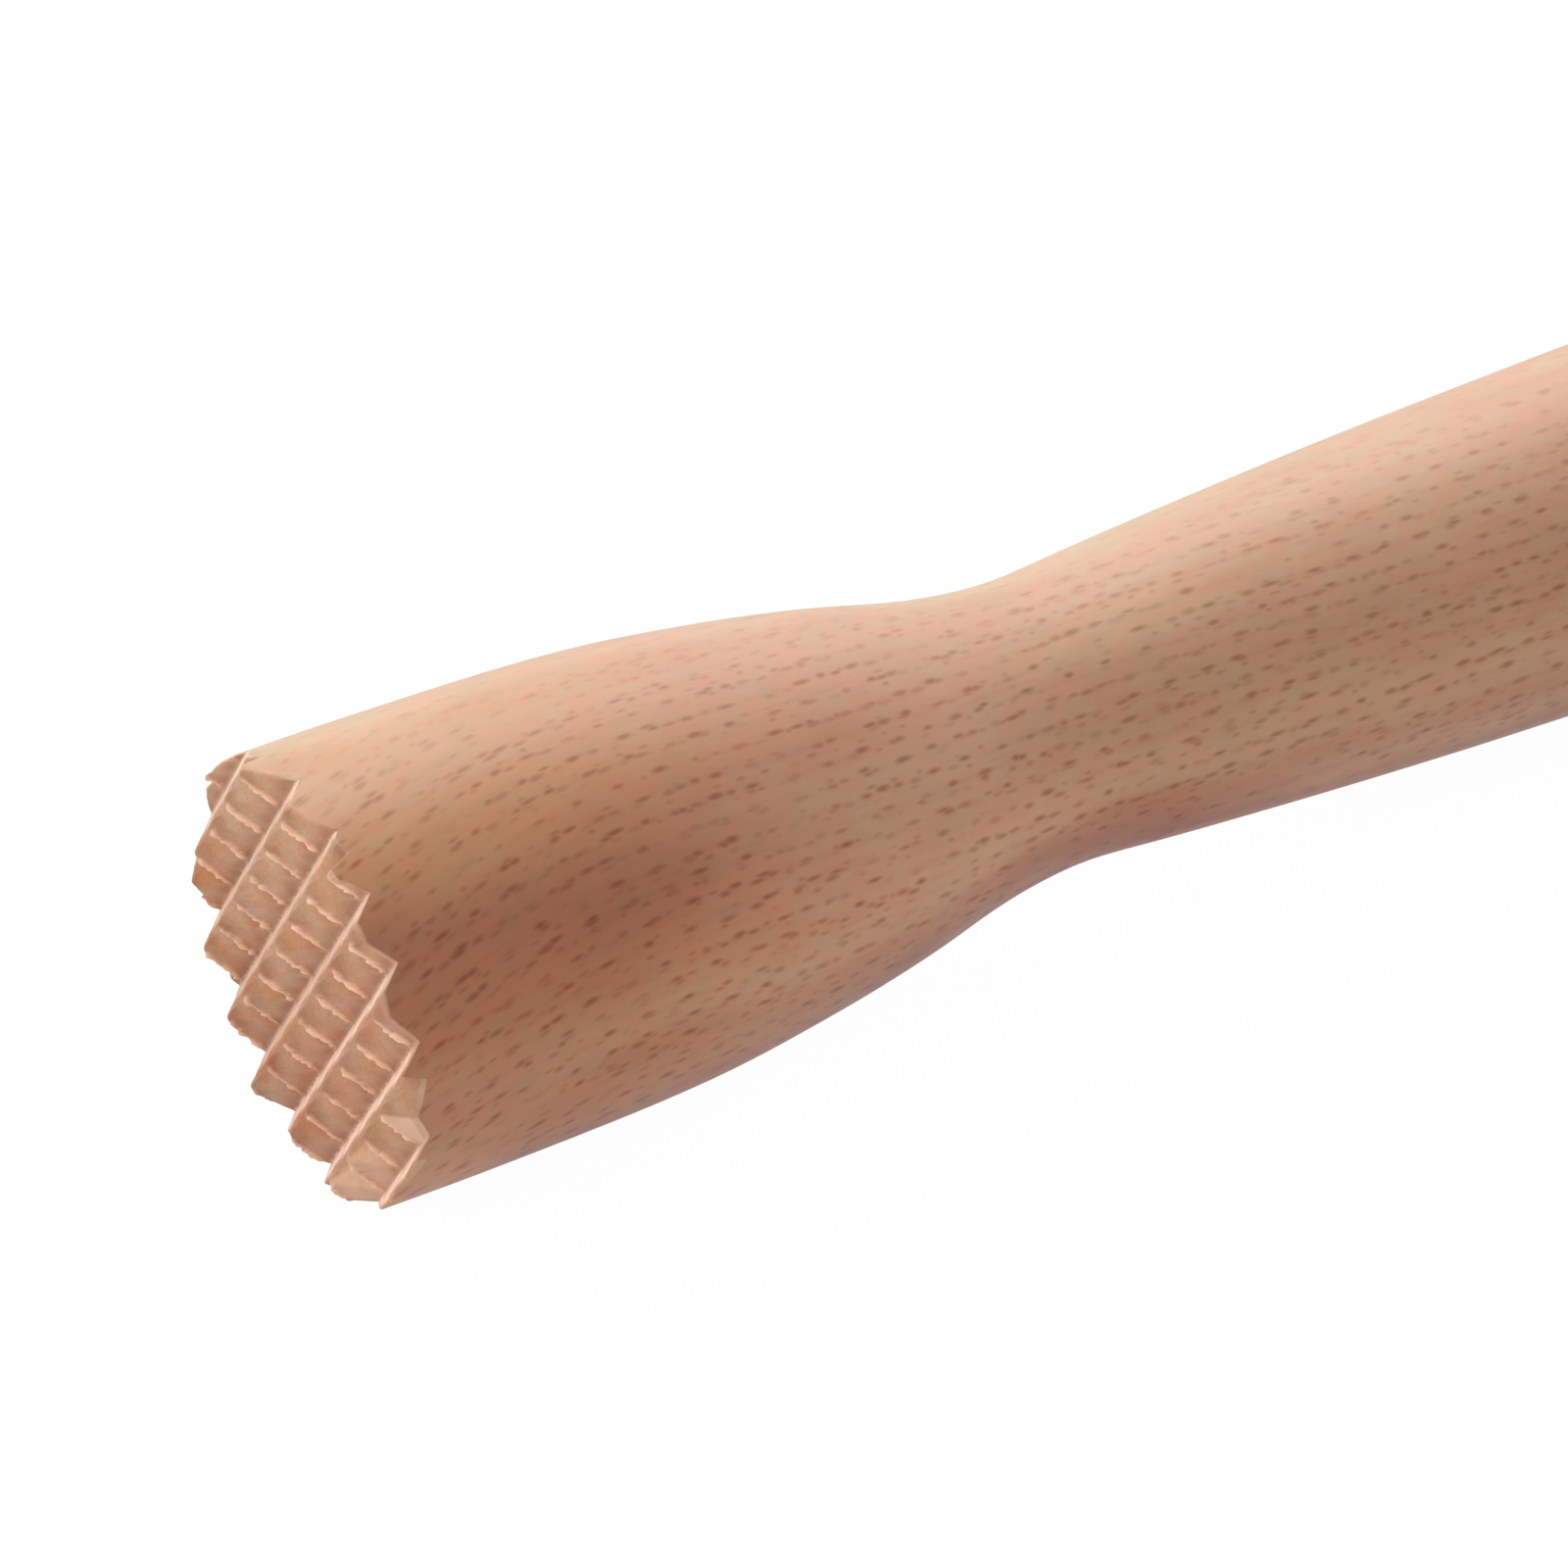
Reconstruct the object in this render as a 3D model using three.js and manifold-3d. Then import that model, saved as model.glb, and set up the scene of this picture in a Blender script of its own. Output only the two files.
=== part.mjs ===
// Wooden cocktail muddler: one turned stick with a toothed pressing end.
// Millimetres, +Z up. The stick lies on its side along X, toothed end at -X,
// resting on the belly of the head and the swell of the grip.
import * as THREE from 'three';
import Module from 'manifold-3d';
import { mergeVertices } from 'three/addons/utils/BufferGeometryUtils.js';

// Turned outline: distance from the toothed face, radius.
const LENGTH = 220;
const RIM_RADIUS = 20.02;          // head, just behind the toothed face
const RIM_ROUND = 0.8;             // worn edge around the toothed face
const BUTT_FLAT_RADIUS = 8;        // small flat left at the rounded end of the grip
const OUTLINE = [
  [RIM_ROUND, RIM_RADIUS],
  [5, 20.07], [10, 20.1], [20, 20.0], [28, 19.8], [35.5, 19.33], [42.7, 18.43], [50, 17.31], [57.2, 15.88],
  [61, 14.9], [65, 14.0], [69.2, 13.38],
  [74.3, 13.05],                   // waist
  [81.3, 13.58], [89, 14.13], [101, 14.87], [113, 15.48], [124, 15.9], [140, 16.4],
  [160, 16.8], [172, 16.8],        // swell of the grip
  [185, 16.45], [196, 15.75], [205, 14.75], [211, 13.5], [216, 11.6], [219, 9.4],
  [LENGTH, BUTT_FLAT_RADIUS],
];
const OUTLINE_STEPS = 60;          // rings along the outline
const ROUND_STEPS = 4;             // rings on the worn edge
const SIDES = 48;                  // facets around the stick, one of them facing down

// Teeth: two families of V grooves milled across the end grain.
// angle: direction across the grooves in the section plane, from +Y towards +Z.
// pitch: groove to groove. ridge: distance of one ridge from the axis.
// fall: run of the wall on the low side of a ridge, the rest of the pitch is the other wall.
const TOOTH_DEPTH = 2.75;
const TIP_FLAT = 0.24;             // width left flat on top of each ridge
const GROOVES = [
  { angle: -148.066, pitch: 6.075, ridge: 2.4, fall: 2.62 },
  { angle: 138.834, pitch: 6.02, ridge: 0.12, fall: 0.6 },
];
const CUT_LENGTH = 60;
const CUT_ABOVE = 1;               // how far each cut runs out past the face

// Lean of the axis when head and grip both touch the surface, butt end lower.
const REST_LEAN = 1.2;

const wasm = await Module();
wasm.setup();

function solid(geometry) {
  const g = geometry.clone();
  g.deleteAttribute('normal');
  g.deleteAttribute('uv');
  const m = mergeVertices(g, 1e-5);
  return new wasm.Manifold(new wasm.Mesh({
    numProp: 3,
    vertProperties: new Float32Array(m.attributes.position.array),
    triVerts: new Uint32Array(m.index.array),
  }));
}

function geometryOf(manifold) {
  const mesh = manifold.getMesh();
  const g = new THREE.BufferGeometry();
  g.setAttribute('position', new THREE.BufferAttribute(new Float32Array(mesh.vertProperties), 3));
  g.setIndex(new THREE.BufferAttribute(new Uint32Array(mesh.triVerts), 1));
  return g;
}

// The turned blank, axis along +X, toothed face at x = 0.
function blank() {
  const profile = [new THREE.Vector2(0, 0)];
  for (let i = 0; i < ROUND_STEPS; i++) {
    const t = (i / ROUND_STEPS) * Math.PI / 2;
    profile.push(new THREE.Vector2(
      RIM_RADIUS - RIM_ROUND + RIM_ROUND * Math.sin(t),
      RIM_ROUND - RIM_ROUND * Math.cos(t),
    ));
  }
  const curve = new THREE.SplineCurve(OUTLINE.map(([x, r]) => new THREE.Vector2(r, x)));
  profile.push(...curve.getSpacedPoints(OUTLINE_STEPS));
  profile.push(new THREE.Vector2(0, LENGTH));
  const g = new THREE.LatheGeometry(profile, SIDES);
  g.rotateZ(-Math.PI / 2);
  g.rotateX(Math.PI / SIDES);
  return g;
}

// One V-shaped cut across the face, its bottom line at distance `at` from the axis.
function groove({ angle, pitch, fall }, at) {
  const a = THREE.MathUtils.degToRad(angle);
  const widen = (TOOTH_DEPTH + CUT_ABOVE) / TOOTH_DEPTH;
  const shape = new THREE.Shape([
    new THREE.Vector2(at - (pitch - TIP_FLAT - fall) * widen, -CUT_ABOVE),
    new THREE.Vector2(at + fall * widen, -CUT_ABOVE),
    new THREE.Vector2(at, TOOTH_DEPTH),
  ]);
  const g = new THREE.ExtrudeGeometry(shape, { depth: CUT_LENGTH, bevelEnabled: false });
  g.translate(0, 0, -CUT_LENGTH / 2);
  const across = new THREE.Vector3(0, Math.cos(a), Math.sin(a));
  const inward = new THREE.Vector3(1, 0, 0);
  const along = new THREE.Vector3().crossVectors(across, inward);
  g.applyMatrix4(new THREE.Matrix4().makeBasis(across, inward, along));
  return g;
}

let body = solid(blank());
for (const family of GROOVES) {
  const count = Math.ceil(RIM_RADIUS / family.pitch) + 1;
  for (let k = -count; k <= count; k++) {
    const at = family.ridge + k * family.pitch - TIP_FLAT / 2 - family.fall;
    if (Math.abs(at) < RIM_RADIUS + family.pitch / 2) body = body.subtract(solid(groove(family, at)));
  }
}

const geometry = geometryOf(body);
geometry.rotateY(THREE.MathUtils.degToRad(REST_LEAN));
geometry.computeBoundingBox();
const { min, max } = geometry.boundingBox;
geometry.translate(-(min.x + max.x) / 2, -(min.y + max.y) / 2, -min.z);
geometry.computeVertexNormals();

const stick = new THREE.Mesh(geometry, new THREE.MeshStandardMaterial({
  color: new THREE.Color().setRGB(0.77, 0.58, 0.45, THREE.SRGBColorSpace),
  roughness: 0.62,
  metalness: 0,
  flatShading: true,
}));
stick.name = 'turned_stick';

const muddler = new THREE.Group();
muddler.name = 'cocktail_muddler';
muddler.add(stick);

export default muddler;
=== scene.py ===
import math

import bpy
import numpy as np
from mathutils import Matrix, Vector


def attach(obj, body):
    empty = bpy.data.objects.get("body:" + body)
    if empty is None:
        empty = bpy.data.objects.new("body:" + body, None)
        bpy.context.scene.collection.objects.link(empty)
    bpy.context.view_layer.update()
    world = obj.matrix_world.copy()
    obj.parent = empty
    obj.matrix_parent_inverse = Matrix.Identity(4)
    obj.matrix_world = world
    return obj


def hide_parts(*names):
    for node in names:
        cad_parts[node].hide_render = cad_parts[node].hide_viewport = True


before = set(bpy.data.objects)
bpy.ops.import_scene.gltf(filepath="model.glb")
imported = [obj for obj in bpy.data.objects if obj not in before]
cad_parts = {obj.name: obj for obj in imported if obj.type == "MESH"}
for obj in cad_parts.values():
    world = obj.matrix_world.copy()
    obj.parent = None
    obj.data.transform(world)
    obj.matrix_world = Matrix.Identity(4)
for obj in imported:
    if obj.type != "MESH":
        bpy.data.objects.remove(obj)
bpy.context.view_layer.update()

scene = bpy.context.scene

# ---------------------------------------------------------------- frame of the stick (millimetres)
# x runs along the stick from the tooth tips to the butt, y and z lie in its section.
LEAN = math.radians(1.2)
TIP = np.array([-109.877, 0.0, 20.382])
EX = np.array([math.cos(LEAN), 0.0, -math.sin(LEAN)])
EY = np.array([0.0, 1.0, 0.0])
EZ = np.array([math.sin(LEAN), 0.0, math.cos(LEAN)])
# The tree's radius through the stick (RAD) and the direction along its growth rings (TAN), in (y, z).
RAD = np.array([-0.7173, 0.6967])
TAN = np.array([-0.6967, -0.7173])
PITH = 60.0

LENGTH = 220.0
OUTLINE = [
    (0.8, 20.02), (5, 20.07), (10, 20.1), (20, 20.0), (28, 19.8), (35.5, 19.33), (42.7, 18.43), (50, 17.31),
    (57.2, 15.88), (61, 14.9), (65, 14.0), (69.2, 13.38), (74.3, 13.05), (81.3, 13.58), (89, 14.13), (101, 14.87),
    (113, 15.48), (124, 15.9), (140, 16.4), (160, 16.8), (172, 16.8), (185, 16.45), (196, 15.75), (205, 14.75),
    (211, 13.5), (216, 11.6), (219, 9.4), (220, 8.0),
]
RIM = 20.02

# Teeth: two families of V grooves across the end grain.
DEPTH = 2.75
CELLS = 40            # mesh cells from ridge to ridge
FLAT_CELLS = 2        # cells from a ridge line to the edge of its flat
# Direction across, pitch, one ridge line, run of the wall on its low side, half the flat left on a ridge.
GROOVES = [(-148.066, 6.075, 2.40, 2.62, 0.12), (138.834, 6.02, 0.12, 0.60, 0.12)]


# ---------------------------------------------------------------- seeded noise
rng = np.random.default_rng(20)
PERM = np.concatenate([rng.permutation(256)] * 3)
GRAD = rng.normal(size=(256, 3))
GRAD /= np.linalg.norm(GRAD, axis=1)[:, None]


def noise(points):
    """Smooth noise from about -1 to 1, one unit between knots."""
    points = np.asarray(points, float)
    cell = np.floor(points).astype(int)
    f = points - cell
    u = f * f * f * (f * (f * 6 - 15) + 10)
    total = 0.0
    for dx in (0, 1):
        for dy in (0, 1):
            for dz in (0, 1):
                c = (cell + (dx, dy, dz)) & 255
                g = GRAD[PERM[PERM[PERM[c[:, 0]] + c[:, 1]] + c[:, 2]]]
                w = (u[:, 0] if dx else 1 - u[:, 0]) * (u[:, 1] if dy else 1 - u[:, 1]) * (u[:, 2] if dz else 1 - u[:, 2])
                total = total + w * (g * (f - (dx, dy, dz))).sum(1)
    return total * 1.6


def step(lo, hi, v):
    t = np.clip((v - lo) / (hi - lo), 0, 1)
    return t * t * (3 - 2 * t)


def smax(a, b, k):
    h = np.maximum(k - np.abs(a - b), 0) / k
    return np.maximum(a, b) + h * h * k / 4


def smin(a, b, k):
    return -smax(-a, -b, k)


# ---------------------------------------------------------------- turned outline
def outline():
    pts = np.array(OUTLINE, float)
    out = []
    for i in range(len(pts) - 1):
        p0, p1, p2, p3 = pts[max(i - 1, 0)], pts[i], pts[i + 1], pts[min(i + 2, len(pts) - 1)]
        t = np.linspace(0, 1, 40, endpoint=False)[:, None]
        v0, v1 = (p2 - p0) / 2, (p3 - p1) / 2
        out.append((2 * p1 - 2 * p2 + v0 + v1) * t**3 + (-3 * p1 + 3 * p2 - 2 * v0 - v1) * t**2 + v0 * t + p1)
    return np.concatenate(out + [pts[-1:]])


def smoothed():
    """Radius by distance from the tips, with the sanded softness of a turned surface."""
    line = outline()
    x = np.arange(0, 212.01, 0.25)
    r = np.interp(x, line[:, 0], line[:, 1])
    k = np.exp(-0.5 * (np.arange(-20, 21) * 0.25 / 1.5) ** 2)
    k /= k.sum()
    soft = np.convolve(np.pad(r, 20, mode="edge"), k, mode="valid")
    keep = step(200, 209, x)
    r = soft * (1 - keep) + r * keep
    tail = line[line[:, 0] > 212.0]
    return np.concatenate([x, tail[:, 0]]), np.concatenate([r, tail[:, 1]])


LINE_X, LINE_R = smoothed()


def radius(x):
    return np.interp(x, LINE_X, LINE_R)


# ---------------------------------------------------------------- toothed face
A_DIR, B_DIR = [np.array([math.cos(math.radians(g[0])), math.sin(math.radians(g[0]))]) for g in GROOVES]
ACROSS = np.array([A_DIR, B_DIR])


def from_ridge(s, family):
    """Signed distance from the ridge line whose tooth holds s."""
    _, pitch, _, run, flat = family
    return (s + flat + run) % pitch - flat - run


def groove(s, family):
    """Depth of one family of grooves, with worn shoulders and soft bottoms."""
    _, pitch, _, run, flat = family
    rise = pitch - 2 * flat - run
    d = from_ridge(s, family)
    zero = np.zeros_like(d)
    low = smax((-d - flat) / run, zero, 0.085) * DEPTH
    high = smax((d - flat) / rise, zero, 0.085) * DEPTH
    next_low = smax((pitch - d - flat) / run, zero, 0.085) * DEPTH
    next_high = smax((pitch + d - flat) / rise, zero, 0.085) * DEPTH
    return smin(smin(np.maximum(low, high), next_low, 0.11), next_high, 0.11)


def line_at(index, family):
    """Distance across the grooves of a mesh line: ridge lines every CELLS, flats and walls evenly divided."""
    _, pitch, ridge, run, flat = family
    rise = pitch - 2 * flat - run
    half = CELLS // 2
    tooth = np.floor((index + half) / CELLS)
    i = index - tooth * CELLS
    wall = half - FLAT_CELLS
    d = np.where(i < -FLAT_CELLS, -flat + (i + FLAT_CELLS) * run / wall,
                 np.where(i > FLAT_CELLS, flat + (i - FLAT_CELLS) * rise / wall, i * flat / FLAT_CELLS))
    return ridge + tooth * pitch + d


def face(y, z):
    """Depth of the toothed face at (y, z), how torn the wood is there with painted highlight on the pale lines, how
    much painted light lightens the walls facing down, and its stains with painted shade in the grooves.
    """
    sa = y * A_DIR[0] + z * A_DIR[1] - GROOVES[0][2]
    sb = y * B_DIR[0] + z * B_DIR[1] - GROOVES[1][2]
    ra, rb = from_ridge(sa, GROOVES[0]), from_ridge(sb, GROOVES[1])
    da, db = groove(sa, GROOVES[0]), groove(sb, GROOVES[1])
    deep = smax(da, db, 0.16)
    here = np.column_stack([y, z, deep])
    # Hips: the edges where a wall of one family meets a wall of the other. The cutter left torn fibres
    # standing on the side where it came out of the wood.
    # Distance from the edge into the wall facing down, or how far down the steep wall behind it.
    past = np.where(da >= db, rb + GROOVES[1][4] + GROOVES[1][3] * da / DEPTH, 0.8 * (db - da))
    lump = np.clip(noise(here / 1.1 + 11.3) * 1.2 + noise(here / 0.48 + 4.1) * 1.1 + 0.45, 0, 1)
    out_side = ((ra > 0) & ((rb < 0) | (da >= db))).astype(float)
    lump = np.clip(lump + 0.10 * (1 - step(0.4, 1.5, da)), 0, 1)
    wide = 0.44 + 0.62 * lump
    sway = 0.12 * noise(here / 0.7 + 61.0)
    hip = (1 - step(0.45, 1.0, (past + sway) / wide)) * step(0.03, 0.45, da) * (1 - step(2.4, 2.72, da))
    burr = hip * out_side
    # The lower part of the walls facing up is painted pale down to a pale line along the groove: fibres torn by the
    # cutter, partly a painted highlight against the shade deep in the groove.
    up_side = (ra < 0) * step(-0.30, -0.12, da - db) * step(0.0, 0.6, np.maximum(da, db) - 0.72 - 0.22 * step(0.0, 8.0, sa))
    up_side = np.maximum(up_side, 0.4 * (ra > 0) * step(2.55, 2.68, da) * step(-0.10, 0.05, da - db))
    # Painted light: these pale walls are painted lighter on the rows lower down the face.
    painted_light = 0.50 + 0.48 * step(-4.0, 8.0, sa)
    # Torn fibres are painted pale, partly a painted highlight where they catch the light along the hips and lines.
    torn_and_highlight = np.maximum(burr * (0.62 + 0.40 * lump), up_side * (painted_light + 0.14 * noise(here / 1.4 + 51.0)))
    # A torn patch on the last tooth at the near rim.
    torn_and_highlight = np.maximum(torn_and_highlight, 0.6 * (ra > 0) * step(-0.1, 0.1, da - db) * step(12.2, 12.6, sa) * step(11.6, 12.0, sb))
    last = step(11.6, 12.4, sa) * (1 - step(2.0, 6.0, sb))
    torn_and_highlight = np.maximum(torn_and_highlight, last * (0.22 + 0.24 * (1 - step(-5.0, -2.0, sb))))
    deep = deep - burr * (0.10 + 0.32 * lump)
    # Painted light: the walls facing down, and the last tooth more strongly, are marked to be painted paler.
    down_wall_painted_light = np.maximum((ra > 0) * step(-0.1, 0.1, da - db), 2.6 * last)
    # Painted shade down in the grooves, beside the pale lines and near the tooth tips; browner patches towards the far
    # rim and yellow in the torn tips.
    spread = np.clip(0.75 + 0.6 * noise(here / 1.9 + 71.0), 0.2, 1)
    dark = np.maximum((ra > 0) * step(-0.1, 0.1, da - db) * step(1.5, 2.7, da), 0.85 * (ra > -0.3) * (1 - step(0.4, 1.4, deep)))
    dark = np.maximum(dark, 0.7 * (ra < 0) * step(-0.1, 0.1, da - db) * (1 - np.clip(up_side, 0, 1)))
    dark = spread * np.maximum(dark,
                               (rb > 0) * step(0.0, 0.3, db - da - 0.6 * (ra < 0)) * step(1.1, 2.6, db))
    dark = dark * (1 - 0.7 * last)
    back = -(y * RAD[0] + z * RAD[1])
    brown = step(2, 15, back + 3 * noise(here / 3.1 + 5.5)) * np.clip(0.35 + 1.2 * noise(here / 2.6 + 40.0), 0, 1)
    yellow = burr * np.clip(0.08 + 0.4 * (1 - step(0.5, 1.4, da)) + 0.6 * noise(here / 1.5 + 90.0), 0, 1)
    stain_and_shade = np.column_stack([dark, brown, yellow])
    # Tips and shoulders worn unevenly, walls left slightly rough by the cutter.
    tip = 1 - step(0.0, 0.5, deep)
    deep = deep + tip * (0.05 + 0.10 * noise(here / 1.7 + 30.7))
    deep = deep + 0.030 * noise(here * (1 / 0.55, 1 / 0.55, 1 / 1.6) + 7.7) + 0.015 * noise(here / 0.3 + 2.2)
    # Worn edge around the rim.
    r = np.hypot(y, z)
    worn = (0.55 + 0.32 * step(-3, 6, back)) * (1 + 0.35 * noise(np.column_stack([y, z, 0 * y]) / 2.3 + 17.0))
    round_at = np.degrees(np.arctan2(z, y))
    for at, wide, more in ((20, 8, -0.5), (-7, 6, -0.75), (-29, 5, 0.6), (-47, 5, 0.6), (-81, 5, -0.5), (-101, 8, -0.6)):
        worn = worn * (1 + more * np.exp(-(((round_at - at) / wide) ** 2)))
    t = np.clip((r - RIM + worn) / worn, 0, 1)
    edge = worn * (1 - np.sqrt(np.maximum(1 - t * t, 0)))
    deep = smax(deep, edge, 0.15)
    t2 = np.clip((r - RIM + 0.32) / 0.32, 0, 1)
    deep = deep + 0.30 * (1 - np.sqrt(np.maximum(1 - t2 * t2, 0)))
    return deep, torn_and_highlight, down_wall_painted_light, stain_and_shade


def lattice():
    """Triangles over the disc inside the worn rim, their edges along the ridges, grooves and hips."""
    inner = RIM - 0.42
    n = 4 * CELLS + 4
    ii, jj = np.meshgrid(np.arange(-n, n + 1), np.arange(-n, n + 1), indexing="ij")
    s = np.stack([line_at(ii, GROOVES[0]), line_at(jj, GROOVES[1])], -1)
    yz = s.reshape(-1, 2) @ np.linalg.inv(ACROSS).T
    r = np.linalg.norm(yz, axis=1)
    side = np.sign(inner - r).astype(int)          # 1 inside, -1 outside, 0 on the circle
    near = np.abs(r - inner) < 0.012
    yz[near] *= (inner / r[near])[:, None]
    side[near] = 0
    w = 2 * n + 1
    i, j = [v.ravel() for v in np.meshgrid(np.arange(2 * n), np.arange(2 * n), indexing="ij")]
    a, b, c, d = i * w + j, (i + 1) * w + j, (i + 1) * w + j + 1, i * w + j + 1
    half = CELLS // 2
    along = ((i - n + half) % CELLS - half + 0.5) * ((j - n + half) % CELLS - half + 0.5) > 0
    tris = np.concatenate([
        np.stack([a, b, c], 1)[along], np.stack([a, c, d], 1)[along],
        np.stack([a, b, d], 1)[~along], np.stack([b, c, d], 1)[~along],
    ])
    s3 = side[tris]
    tris = tris[(s3 > 0).any(1)]
    s3 = side[tris]
    whole = tris[(s3 >= 0).all(1)]
    cut = tris[(s3 < 0).any(1)]
    points, made, extra = list(yz), {}, []

    def crossing(p, q):
        key = (min(p, q), max(p, q))
        if key not in made:
            u, v = yz[p], yz[q] - yz[p]
            aa, bb, cc = v @ v, 2 * u @ v, u @ u - inner * inner
            root = math.sqrt(bb * bb - 4 * aa * cc)
            t = [t for t in ((-bb - root) / (2 * aa), (-bb + root) / (2 * aa)) if -1e-9 <= t <= 1 + 1e-9][0]
            made[key] = len(points)
            points.append(u + t * v)
        return made[key]

    for tri in cut:
        ring = []
        for p, q in zip(tri, np.roll(tri, -1)):
            if side[p] >= 0:
                ring.append(int(p))
            if side[p] * side[q] < 0:
                ring.append(crossing(int(p), int(q)))
        for k in range(1, len(ring) - 1):
            extra.append((ring[0], ring[k], ring[k + 1]))
    tris = np.concatenate([whole, np.array(extra, int)])
    points = np.array(points)
    used, tris = np.unique(tris, return_inverse=True)
    tris = tris.reshape(-1, 3)
    points = points[used]
    area = np.cross(points[tris[:, 1]] - points[tris[:, 0]], points[tris[:, 2]] - points[tris[:, 0]])
    tris[area < 0] = tris[area < 0][:, ::-1]
    return points, tris


def rim_loop(tris):
    """The boundary of the disc as one loop of vertices."""
    e = np.concatenate([tris[:, [0, 1]], tris[:, [1, 2]], tris[:, [2, 0]]])
    key = np.sort(e, 1)
    _, where, count = np.unique(key, axis=0, return_index=True, return_counts=True)
    follow = {int(p): int(q) for p, q in e[where[count == 1]]}
    start = at = next(iter(follow))
    loop = [start]
    while follow[at] != start:
        at = follow[at]
        loop.append(at)
    assert len(loop) == len(follow)
    return np.array(loop)


# ---------------------------------------------------------------- the whole stick
def stick():
    local, tris, zone = [], [], []          # (x, y, z), faces, and for each face: 0 toothed face, 1 turned side, 2 butt

    def add(x, y, z):
        start = sum(len(p) for p in local)
        local.append(np.column_stack([x, y, z]))
        return np.arange(start, start + len(local[-1]))

    def faces(t, kind):
        t = np.asarray(t, int).reshape(-1, 3)
        tris.append(t)
        zone.append(np.full(len(t), kind))

    def band(up, down, kind):
        """Quads between two rings of the same length, the second one further along x."""
        u2, d2 = np.roll(up, -1), np.roll(down, -1)
        faces(np.concatenate([np.column_stack([up, u2, d2]), np.column_stack([up, d2, down])]), kind)

    torn_and_highlight_all, cut_all, rim_all, stain_and_shade_all = [], [], [], []

    def masks(count, torn_and_highlight, cut, rim, stain_and_shade=0.0):
        torn_and_highlight_all.append(np.broadcast_to(torn_and_highlight, count).astype(float))
        cut_all.append(np.broadcast_to(cut, count).astype(float))
        rim_all.append(np.broadcast_to(rim, count).astype(float))
        stain_and_shade_all.append(np.broadcast_to(stain_and_shade, (count, 3)).astype(float))

    yz, t = lattice()
    deep, torn_and_highlight, painted_light, stain_and_shade = face(yz[:, 0], yz[:, 1])
    disc = add(deep, yz[:, 0], yz[:, 1])
    # The cut mask rises above 0.8 where painted light makes the walls facing down paler.
    masks(len(disc), torn_and_highlight, 0.8 + 0.2 * painted_light, 0.0, stain_and_shade)
    loop = rim_loop(t)
    faces(disc[t][:, ::-1], 0)          # seen from -x
    turn = np.arctan2(yz[loop, 1], yz[loop, 0])
    loop = loop[np.argmin(turn):].tolist() + loop[:np.argmin(turn)].tolist()
    turn = np.arctan2(yz[loop, 1], yz[loop, 0])
    assert (np.diff(turn) > 0).all()
    ring = disc[loop]
    cy, cz = np.cos(turn), np.sin(turn)
    bare = np.clip(0.55 + 0.8 * noise(np.column_stack([cy, cz, 0 * cy]) * 7 + 44.0), 0.1, 1)
    bare = bare * (0.3 + 0.7 * np.maximum(step(112, 122, np.degrees(turn)), step(50, 40, np.degrees(turn))))
    for back, rim, cut in ((0.28, 0.25, 0.8), (0.17, 0.6, 0.8), (0.08, 1.0, 0.7), (0.025, 1.0, 0.5), (0.0, 0.8, 0.3)):
        r = RIM - back
        deep, torn_and_highlight, _, stain_and_shade = face(r * cy, r * cz)
        new = add(deep, r * cy, r * cz)
        masks(len(new), torn_and_highlight * 0.5, cut, rim * bare, stain_and_shade)
        band(ring, new, 0)
        ring, edge = new, deep
    for part, rim in ((0.03, 0.35), (0.07, 0.0), (0.16, 0.0), (0.32, 0.0), (0.54, 0.0), (0.77, 0.0), (1.0, 0.0)):
        x = edge + (3.9 - edge) * part
        r = radius(x)
        new = add(x, r * cy, r * cz)
        masks(len(new), 0.0, 0.0, rim * bare)
        band(ring, new, 1)
        ring = new

    columns = 192
    even = -math.pi + (np.arange(columns) + 0.5) * 2 * math.pi / columns
    ey, ez = np.cos(even), np.sin(even)

    def even_ring(x, r):
        new = add(np.full(columns, x), r * ey, r * ez)
        masks(columns, 0.0, 0.0, 0.0)
        return new

    first = even_ring(4.6, radius(4.6))
    i = j = 0
    m = len(ring)
    sew = []
    while i < m or j < columns:
        ti = turn[i + 1] if i + 1 < m else turn[0] + 2 * math.pi + (turn[(i + 1) % m] - turn[0] if i + 1 > m else 0)
        tj = even[j + 1] if j + 1 < columns else even[0] + 2 * math.pi
        if i < m and (j >= columns or ti <= tj):
            sew.append((ring[i % m], ring[(i + 1) % m], first[j % columns]))
            i += 1
        else:
            sew.append((ring[i % m], first[(j + 1) % columns], first[j % columns]))
            j += 1
    faces(sew, 1)

    # Rings along the side, evenly spaced along the outline and closer together round the butt.
    along = np.concatenate([[0], np.cumsum(np.hypot(np.diff(LINE_X), np.diff(LINE_R)))])
    lo, mid, hi = np.interp([4.6, 200.0, 219.6], LINE_X, along)
    stops = np.concatenate([np.linspace(lo, mid, 104)[1:], np.linspace(mid, hi, 26)[1:]])
    ring = first
    for s in stops:
        x = np.interp(s, along, LINE_X)
        new = even_ring(x, np.interp(s, along, LINE_R))
        band(ring, new, 1)
        ring = new
    for x, r in ((219.86, 8.05), (219.97, 7.6), (220.0, 7.0), (220.0, 5.2), (220.0, 3.4), (220.0, 1.6)):
        new = even_ring(x, r)
        band(ring, new, 2)
        ring = new
    end = add(np.array([220.0]), np.zeros(1), np.zeros(1))
    masks(1, 0.0, 0.0, 0.0)
    faces(np.column_stack([ring, np.roll(ring, -1), np.full(columns, end[0])]), 2)
    return (np.concatenate(local), np.concatenate(tris), np.concatenate(zone),
            np.column_stack([np.concatenate(cut_all), np.concatenate(torn_and_highlight_all), np.concatenate(rim_all)]),
            np.concatenate(stain_and_shade_all))


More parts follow.
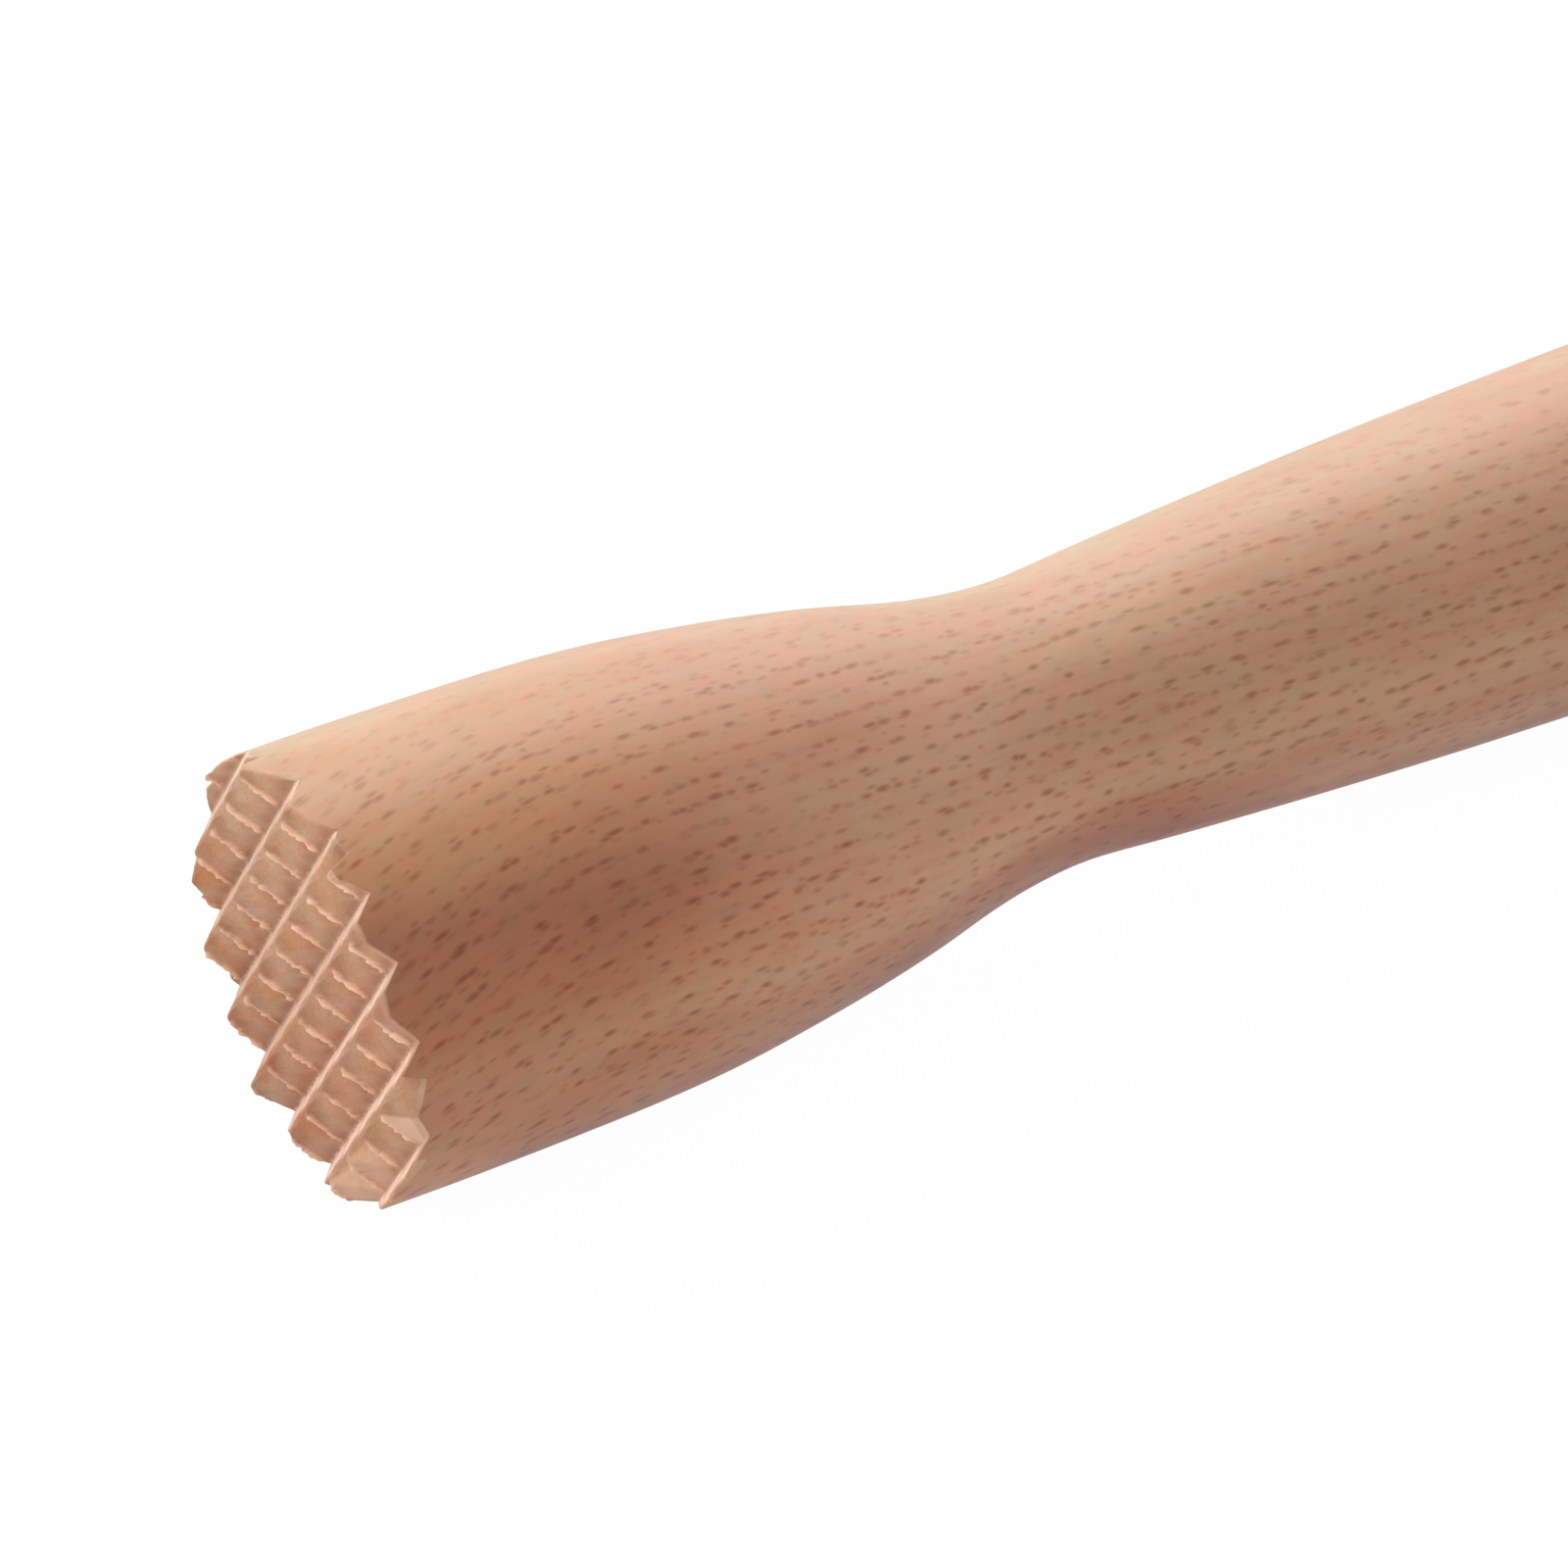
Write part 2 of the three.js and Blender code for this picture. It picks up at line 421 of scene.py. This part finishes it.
local, tris, zone, worn, stain_and_shade = stick()
world = TIP + local[:, :1] * EX + local[:, 1:2] * EY + local[:, 2:] * EZ
a, b, c = (world[tris[:, k]] for k in range(3))
if (np.cross(a, b) * c).sum() < 0:
    tris = tris[:, ::-1]

mesh = bpy.data.meshes.new("muddler_stick")
mesh.from_pydata((world * 0.001).tolist(), [], tris.tolist())
mesh.polygons.foreach_set("use_smooth", np.ones(len(tris), bool))

# Wood coordinates in millimetres: along the grain, out from the pith, around the growth rings.
p, q = local[:, 1:] @ RAD + PITH, local[:, 1:] @ TAN
# Towards the toothed end the grain runs out of line with the turned axis.
lead = np.clip(local[:, 0], 0, 30)
grain = np.column_stack([local[:, 0], np.hypot(p, q), PITH * np.arctan2(q, p) + 0.28 * (lead - lead * lead / 60)])
mesh.attributes.new("grain", "FLOAT_VECTOR", "POINT").data.foreach_set("vector", grain.astype(np.float32).ravel())
# Broad colour of the board: brown through the head, redder on the side facing along the tree's radius, a dark streak
# along one edge of the waist and a paler sapwood band beside it, with painted shade on the lower side and a painted
# highlight along the upper edge. Angles run from the tree's radius towards the ring direction.
turn = np.degrees(np.arctan2(local[:, 1:] @ TAN, local[:, 1:] @ RAD))
far = local[:, 0]
sway = np.column_stack([far / 14, turn / 26, 0 * far])
turn = turn + 7 * noise(sway + 3.3)
far = far + 5 * noise(sway * (0.8, 1.3, 1) + 8.8)
brown = step(-78, -54, turn) * (1 - 0.3 * np.exp(-(((turn - 43) / 9) ** 2))) * (1 - 0.6 * step(75, 130, turn))
brown = brown * (1 - step(20, 50, far))
red = (np.exp(-(((turn - 1) / 15) ** 2)) + 0.45 * np.exp(-(((turn - 24) / 14) ** 2))) * (1 - step(20, 50, far))
streak = np.exp(-(((turn - 70) / 16) ** 2)) * step(34, 56, far) * (1 - step(78, 104, far))
streak = streak * np.clip(0.75 + 0.8 * noise(sway * (2.2, 2.0, 1) + 21.1), 0, 1)
pale = np.exp(-(((turn - 30) / 17) ** 2)) * step(20, 34, far) * (1 - 0.5 * step(68, 84, far))
fair = np.exp(-(((turn + 27) / 14) ** 2)) * np.exp(-(((far - 77) / 11) ** 2))
knot = np.exp(-(((turn + 12) / 10) ** 2)) * np.exp(-(((far - 47) / 7) ** 2))
# Painted shade: the lower side is darkened from about 45 degrees round, more strongly towards the bottom edge.
edge = step(41, 52, turn) * (1 - step(125, 165, turn)) * (1 - 0.45 * step(80, 100, far)) * np.clip(0.9 + 0.5 * noise(sway * (1.6, 1.4, 1) + 33.3), 0, 1.2)
painted_shade_under = step(62, 76, turn) * (1 - step(125, 165, turn))
# Painted highlight: the upper edge is painted paler.
painted_light = step(54, 76, -turn) * (1 - step(125, 165, -turn))
# Painted shade along the bottom edge.
painted_shade_limb = step(62, 77, turn) * (1 - step(125, 165, turn))
# Close behind the teeth the painted shade on the lower side is weaker.
lower = 0.25 + 0.75 * step(5, 17, far)
edge, painted_shade_under, painted_shade_limb = edge * lower, painted_shade_under * lower, painted_shade_limb * lower
flush = np.exp(-(((turn - 46) / 12) ** 2)) * (1 - step(6, 16, far))
# Painted light: the lower side close behind the teeth is painted lighter.
glow = step(56, 74, turn) * (1 - step(125, 165, turn)) * (1 - step(6, 16, far))
tone = np.ones((len(local), 3))
for amount, tint in ((brown, (0.92, 0.81, 0.60)), (red, (0.80, 0.67, 0.74)), (streak, (0.72, 0.54, 0.46)), (pale, (1.13, 1.14, 1.15)),
                     (fair, (1.07, 1.14, 1.16)), (knot, (0.93, 0.87, 0.78)), (edge, (0.93, 0.74, 0.63)), (painted_shade_under, (0.82, 0.74, 0.71)),
                     (painted_light, (1.08, 1.23, 1.30)), (painted_shade_limb, (0.97, 0.77, 0.67)),
                     (flush, (0.97, 0.85, 0.90)), (glow, (1.24, 1.10, 1.14))):
    tone *= 1 + np.clip(amount, 0, 1)[:, None] * (np.array(tint) - 1)
# The bands fade out towards the butt end, where they would run together.
tone = 1 + (tone - 1) * (1 - step(180, 212, far))[:, None]
mesh.attributes.new("tone", "FLOAT_VECTOR", "POINT").data.foreach_set("vector", tone.astype(np.float32).ravel())
# This attribute holds the cut end grain with painted light on the walls facing down, torn fibres that are partly
# painted highlight, and the paler rim.
mesh.attributes.new("worn", "FLOAT_VECTOR", "POINT").data.foreach_set("vector", worn.astype(np.float32).ravel())
# This attribute holds painted shade in the grooves, browner patches and yellow torn tips.
mesh.attributes.new("stain_and_shade", "FLOAT_VECTOR", "POINT").data.foreach_set("vector", stain_and_shade.astype(np.float32).ravel())
# The rays show less where the surface lies along the tree's radius.
show = (1 - 0.10 * step(45, 80, far)) * (1 - 0.75 * np.exp(-(((turn + 78) / 36) ** 2)) - 0.4 * np.exp(-(((turn - 112) / 28) ** 2)))
mesh.attributes.new("show", "FLOAT", "POINT").data.foreach_set("value", show.astype(np.float32))

# One map for the whole surface: the side unrolled, the toothed face and the butt beside it.
corner = tris.ravel()
kind = np.repeat(zone, 3)
uv = np.empty((len(corner), 2))
around = np.arctan2(local[:, 1:] @ TAN, local[:, 1:] @ RAD)[corner].reshape(-1, 3)
around += 2 * math.pi * ((around.max(1, keepdims=True) - around) > math.pi)
SIDE = 232.0
along = np.concatenate([[0], np.cumsum(np.hypot(np.diff(LINE_X), np.diff(LINE_R)))])
uv[:, 0] = 2 + np.interp(local[corner, 0], LINE_X, along)
uv[:, 1] = 66 + 20 * around.ravel()
flat = kind == 0
uv[flat] = (48, 182) + local[corner[flat], 1:] * 2.05
flat = kind == 2
uv[flat] = (118, 182) + local[corner[flat], 1:] * 2.05
mesh.uv_layers.new(name="OFBake").data.foreach_set("uv", (uv / SIDE).astype(np.float32).ravel())
mesh.validate()
mesh.update()

stick_ob = bpy.data.objects.new("muddler_stick", mesh)
scene.collection.objects.link(stick_ob)


# ---------------------------------------------------------------- beech
def beech():
    mat = bpy.data.materials.new("beech")
    mat.use_nodes = True
    tree = mat.node_tree
    tree.nodes.clear()
    link = tree.links.new

    def put(socket, value):
        if isinstance(value, bpy.types.NodeSocket):
            link(value, socket)
        else:
            socket.default_value = value

    def new(kind, **options):
        n = tree.nodes.new(kind)
        for k, v in options.items():
            setattr(n, k, v)
        return n

    def maths(op, *values, clamp=False):
        n = new("ShaderNodeMath", operation=op, use_clamp=clamp)
        for s, v in zip(n.inputs, values):
            put(s, v)
        return n.outputs[0]

    def vector(op, *values, out=0):
        n = new("ShaderNodeVectorMath", operation=op)
        for s, v in zip(n.inputs, values):
            put(s, v)
        return n.outputs[out]

    def scaled(v, by):
        return vector("MULTIPLY", v, by)

    def ramp(value, lo, hi, out_lo=0.0, out_hi=1.0, smooth=True):
        n = new("ShaderNodeMapRange", interpolation_type="SMOOTHSTEP" if smooth else "LINEAR", clamp=True)
        for s, v in zip(n.inputs, (value, lo, hi, out_lo, out_hi)):
            put(s, v)
        return n.outputs[0]

    def grainy(coords, detail=2.0, rough=0.5, out="Fac"):
        n = new("ShaderNodeTexNoise", noise_dimensions="3D")
        put(n.inputs["Vector"], coords)
        n.inputs["Scale"].default_value = 1.0
        n.inputs["Detail"].default_value = detail
        n.inputs["Roughness"].default_value = rough
        return n.outputs[out]

    def mix(fac, a, b, blend="MIX"):
        n = new("ShaderNodeMix", data_type="RGBA", blend_type=blend)
        put(n.inputs["Factor"], fac)
        put(n.inputs[6], a)
        put(n.inputs[7], b)
        return n.outputs[2]

    def split(v):
        n = new("ShaderNodeSeparateXYZ")
        link(v, n.inputs[0])
        return n.outputs

    grain = new("ShaderNodeAttribute", attribute_name="grain").outputs["Vector"]
    tone = new("ShaderNodeAttribute", attribute_name="tone").outputs["Vector"]
    cut, torn_and_highlight, rim = split(new("ShaderNodeAttribute", attribute_name="worn").outputs["Vector"])
    dark, brown, yellow = split(new("ShaderNodeAttribute", attribute_name="stain_and_shade").outputs["Vector"])
    show = new("ShaderNodeAttribute", attribute_name="show").outputs["Fac"]

    # The grain wanders a little.
    wander = vector("SUBTRACT", grainy(scaled(grain, (0.02, 0.06, 0.06)), 1.0, out="Color"), (0.5, 0.5, 0.5))
    g = vector("ADD", grain, scaled(wander, (0.0, 2.4, 1.6)))
    along, out, around = split(g)

    def chance(x, y, z):
        """Random numbers for one cell: a value and three more."""
        n = new("ShaderNodeTexWhiteNoise", noise_dimensions="3D")
        c = new("ShaderNodeCombineXYZ")
        for s, v in zip(c.inputs, (x, y, z)):
            put(s, v)
        link(c.outputs[0], n.inputs["Vector"])
        return [n.outputs["Value"], *split(n.outputs["Color"])]

    def cell(value, size):
        """Number of the cell holding a value, and the distance from the middle of that cell."""
        index = maths("FLOOR", maths("DIVIDE", value, size))
        return index, maths("SUBTRACT", value, maths("MULTIPLY", maths("ADD", index, 0.5), size))

    def shifted(value, random, reach):
        return maths("MULTIPLY_ADD", maths("SUBTRACT", random, 0.5), reach, value)

    # Rays: short dark spindles in rows along the grain, each a sheet running in towards the pith.
    def rays(seed, row_gap, step_gap, half_long, half_thick, faint, dark):
        row, side = cell(around, row_gap)
        r0, r1, r2, _ = chance(row, seed, 0.5)
        sheet, deep = cell(maths("MULTIPLY_ADD", r1, 6.0, out), 6.0)
        s0, s1, s2, s3 = chance(row, sheet, seed)
        spot, ahead = cell(maths("MULTIPLY_ADD", s0, 37.0, along), step_gap)
        c0, c1, c2, c3 = chance(maths("ADD", spot, seed), row, sheet)
        d0, _, _, _ = chance(maths("ADD", spot, seed + 91.0), row, sheet)
        in_row = shifted(side, r2, row_gap * 0.20)
        across = maths("DIVIDE", shifted(in_row, c1, row_gap * 0.30), ramp(d0, 0, 1, half_thick * 0.8, half_thick * 1.2, smooth=False))
        ahead = maths("DIVIDE", shifted(ahead, c2, step_gap * 0.26), ramp(c3, 0, 1, half_long * 0.7, half_long * 1.3, smooth=False))
        inside = ramp(maths("ABSOLUTE", shifted(deep, s2, 0.8)), 2.75, 2.15)
        reach = new("ShaderNodeCombineXYZ")
        put(reach.inputs[0], across)
        put(reach.inputs[1], ahead)
        reach = vector("LENGTH", reach.outputs[0], out="Value")
        spindle = maths("MULTIPLY", maths("MULTIPLY", ramp(reach, 1.2, 0.1), inside), ramp(c0, 0.10, 0.85, faint, dark, smooth=False))
        # A faint darker line joins the spindles of some rows.
        thread = maths("MULTIPLY", ramp(maths("ABSOLUTE", in_row), half_thick * 1.6, 0.0),
                       ramp(grainy(scaled(vector("ADD", g, (seed, 0, 0)), (0.13, 0.2, 0.9)), 1.0), 0.50, 0.72, 0.0, 0.14))
        return maths("MAXIMUM", spindle, thread)

    bold = maths("MAXIMUM", rays(3.0, 1.45, 3.8, 0.96, 0.265, 0.28, 1.0), rays(41.0, 1.44, 3.6, 0.88, 0.255, 0.22, 1.0))
    bold = maths("MAXIMUM", bold, rays(67.0, 1.50, 3.5, 0.84, 0.25, 0.12, 0.85))
    fine = rays(17.0, 1.05, 2.4, 0.60, 0.19, 0.0, 0.60)
    flecks = maths("MULTIPLY", maths("MULTIPLY", maths("MAXIMUM", fine, bold), show), ramp(cut, 0.0, 0.6, 1.0, 0.15))

    # Colour: soft drift, faint growth rings, fibres, then the rays.
    drift = grainy(scaled(g, (0.016, 0.05, 0.09)), 2.0)
    base = mix(ramp(drift, 0.32, 0.68), (0.510, 0.241, 0.131, 1), (0.516, 0.281, 0.157, 1))
    rings = grainy(scaled(g, (0.006, 0.42, 0.02)), 2.0, 0.6)
    base = mix(ramp(rings, 0.35, 0.7, 0.0, 0.14), base, (0.42, 0.19, 0.10, 1))
    base = mix(ramp(cut, 0.0, 0.6, 1.0, 0.25), base, mix(1.0, base, tone, "MULTIPLY"))
    patch = grainy(scaled(g, (0.26, 0.6, 0.75)), 2.0)
    base = mix(1.0, base, mix(ramp(patch, 0.3, 0.7), (1.045, 0.955, 0.94, 1), (0.96, 1.04, 1.03, 1)), "MULTIPLY")
    fibre = grainy(scaled(g, (0.22, 0.9, 1.05)), 2.0, 0.5)
    base = mix(1.0, base, mix(ramp(fibre, 0.28, 0.72), (0.975, 0.965, 0.955, 1), (1.025, 1.03, 1.035, 1)), "MULTIPLY")
    base = mix(flecks, base, mix(1.0, base, (0.63, 0.42, 0.24, 1), "MULTIPLY"))

    # Cut end grain: a little paler, with painted light on the walls facing down, painted shade in the grooves, and pale
    # torn fibres along the edges that are partly painted highlight.
    pores = grainy(scaled(g, (0.5, 4.5, 4.5)), 2.0)
    blush = grainy(scaled(g, (0.5, 0.45, 0.45)), 2.0)
    end = mix(1.0, base, mix(ramp(pores, 0.3, 0.65), (0.93, 0.97, 0.99, 1), (1.08, 1.13, 1.17, 1)), "MULTIPLY")
    end = mix(1.0, end, mix(ramp(blush, 0.3, 0.7), (0.97, 0.89, 0.76, 1), (0.99, 1.03, 1.12, 1)), "MULTIPLY")
    # Painted light: the walls facing down and the last tooth are painted paler.
    end = mix(ramp(cut, 0.8, 1.32, smooth=False), end, mix(1.0, end, (1.18, 1.24, 1.36, 1), "MULTIPLY"))
    # Painted shade: darker down in the grooves, beside the pale lines and near the tooth tips.
    end = mix(dark, end, mix(1.0, end, (0.69, 0.55, 0.44, 1), "MULTIPLY"))
    end = mix(brown, end, mix(1.0, end, (0.97, 0.72, 0.50, 1), "MULTIPLY"))
    base = mix(ramp(cut, 0.0, 0.8), base, end)
    # Pale torn fibres, partly a painted highlight along the lines and down the walls facing up.
    base = mix(maths("MULTIPLY", torn_and_highlight, 0.90, clamp=True), base, mix(yellow, (0.98, 0.60, 0.42, 1), (0.94, 0.60, 0.31, 1)))
    base = mix(maths("MULTIPLY", rim, 0.7, clamp=True), base, (0.76, 0.47, 0.32, 1))

    rough = ramp(fibre, 0.2, 0.8, 0.46, 0.58, smooth=False)
    rough = maths("ADD", rough, maths("ADD", maths("MULTIPLY", flecks, 0.10), maths("MULTIPLY", cut, 0.20)))

    hair = grainy(scaled(g, (0.25, 3.0, 3.4)), 2.0)
    height = maths("SUBTRACT", maths("MULTIPLY", hair, 0.45), maths("MULTIPLY", flecks, 0.8))
    bump = new("ShaderNodeBump")
    bump.inputs["Strength"].default_value = 0.35
    bump.inputs["Distance"].default_value = 0.00006
    link(height, bump.inputs["Height"])

    shader = new("ShaderNodeBsdfPrincipled")
    link(base, shader.inputs["Base Color"])
    link(rough, shader.inputs["Roughness"])
    link(bump.outputs[0], shader.inputs["Normal"])
    shader.inputs["IOR"].default_value = 1.5
    shader.inputs["Specular IOR Level"].default_value = 0.6
    shader.inputs["Sheen Weight"].default_value = 0.25
    shader.inputs["Sheen Roughness"].default_value = 0.45
    out = new("ShaderNodeOutputMaterial")
    link(shader.outputs[0], out.inputs["Surface"])
    return mat


mesh.materials.append(beech())
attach(stick_ob, "root")
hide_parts("turned_stick")

# ---------------------------------------------------------------- floor and light
floor_mesh = bpy.data.meshes.new("floor")
floor_mesh.from_pydata([(-4, -4, -0.0001), (4, -4, -0.0001), (4, 4, -0.0001), (-4, 4, -0.0001)], [], [(0, 1, 2, 3)])
floor = bpy.data.objects.new("floor", floor_mesh)
scene.collection.objects.link(floor)
white = bpy.data.materials.new("white_floor")
white.use_nodes = True
s = white.node_tree.nodes["Principled BSDF"]
s.inputs["Base Color"].default_value = (0.05, 0.05, 0.05, 1)
s.inputs["Roughness"].default_value = 1.0
s.inputs["Specular IOR Level"].default_value = 0.0
s.inputs["Emission Color"].default_value = (1, 1, 1, 1)
s.inputs["Emission Strength"].default_value = 0.97
floor_mesh.materials.append(white)
floor.visible_diffuse = floor.visible_glossy = False

studio = bpy.data.worlds.new("studio")
studio.use_nodes = True
sky = studio.node_tree
height = sky.nodes.new("ShaderNodeSeparateXYZ")
level = sky.nodes.new("ShaderNodeMapRange")
sky.links.new(sky.nodes.new("ShaderNodeTexCoord").outputs["Generated"], height.inputs[0])
sky.links.new(height.outputs[2], level.inputs[0])
for s, v in zip(level.inputs[1:5], (-0.05, 0.05, 0.69, 0.37)):     # the white floor's glow below, dimmer studio above
    s.default_value = v
glow = sky.nodes.new("ShaderNodeMapRange")                         # the floor is less bright behind the stick
for s, v in zip(glow.inputs[1:5], (-0.30, 0.60, 0.70, 0.42)):
    s.default_value = v
sky.links.new(height.outputs[1], glow.inputs[0])
sky.links.new(glow.outputs[0], level.inputs[3])
sky.nodes["Background"].inputs["Color"].default_value = (1.0, 1.0, 1.0, 1)
sky.links.new(level.outputs[0], sky.nodes["Background"].inputs["Strength"])
scene.world = studio


def softbox(name, place, size, watts, colour=(1, 1, 1), target=(-0.06, 0.0, 0.02)):
    lamp = bpy.data.lights.new(name, "AREA")
    lamp.shape = "SQUARE"
    lamp.size = size
    lamp.energy = watts
    lamp.color = colour
    ob = bpy.data.objects.new(name, lamp)
    scene.collection.objects.link(ob)
    ob.location = place
    ob.rotation_euler = (Vector(target) - Vector(place)).to_track_quat("-Z", "Y").to_euler()


COOL = (0.95, 1.05, 1.12)
softbox("softbox_back", (0.0, 0.64, 0.68), 0.7, 6.2, COOL)
softbox("softbox_back_left", (-0.65, 0.60, 0.50), 0.7, 6.6, COOL)
softbox("softbox_back_right", (0.60, 0.55, 0.50), 0.7, 2.4, COOL)
softbox("softbox_front_left", (-0.65, -0.60, 0.15), 0.7, 1.8)
softbox("softbox_right", (0.90, -0.10, 0.30), 0.7, 4.0)
softbox("reflector_left", (-0.42, -0.30, 0.004), 0.5, 2.4, target=(-0.42, -0.30, 1.0))

# ---------------------------------------------------------------- camera
cam_data = bpy.data.cameras.new("camera")
cam_data.sensor_fit = "HORIZONTAL"
cam_data.sensor_width = 36.0
cam_data.lens = 144.0
cam_data.clip_start, cam_data.clip_end = 0.01, 50.0
cam = bpy.data.objects.new("camera", cam_data)
scene.collection.objects.link(cam)
forward = Vector((0.38376016, 0.66125239, -0.64457227))
right = Vector((0.86489845, -0.50194687, 0.0))
up = Vector((0.32354104, 0.55748956, 0.76454339))
place = Matrix((right, up, -forward)).transposed().to_4x4()
place.translation = Vector((-0.269953, -0.358906, 0.372414))
cam.matrix_world = place
scene.camera = cam

scene.view_settings.view_transform = "Standard"
scene.view_settings.look = "None"

bpy.context.view_layer.update()
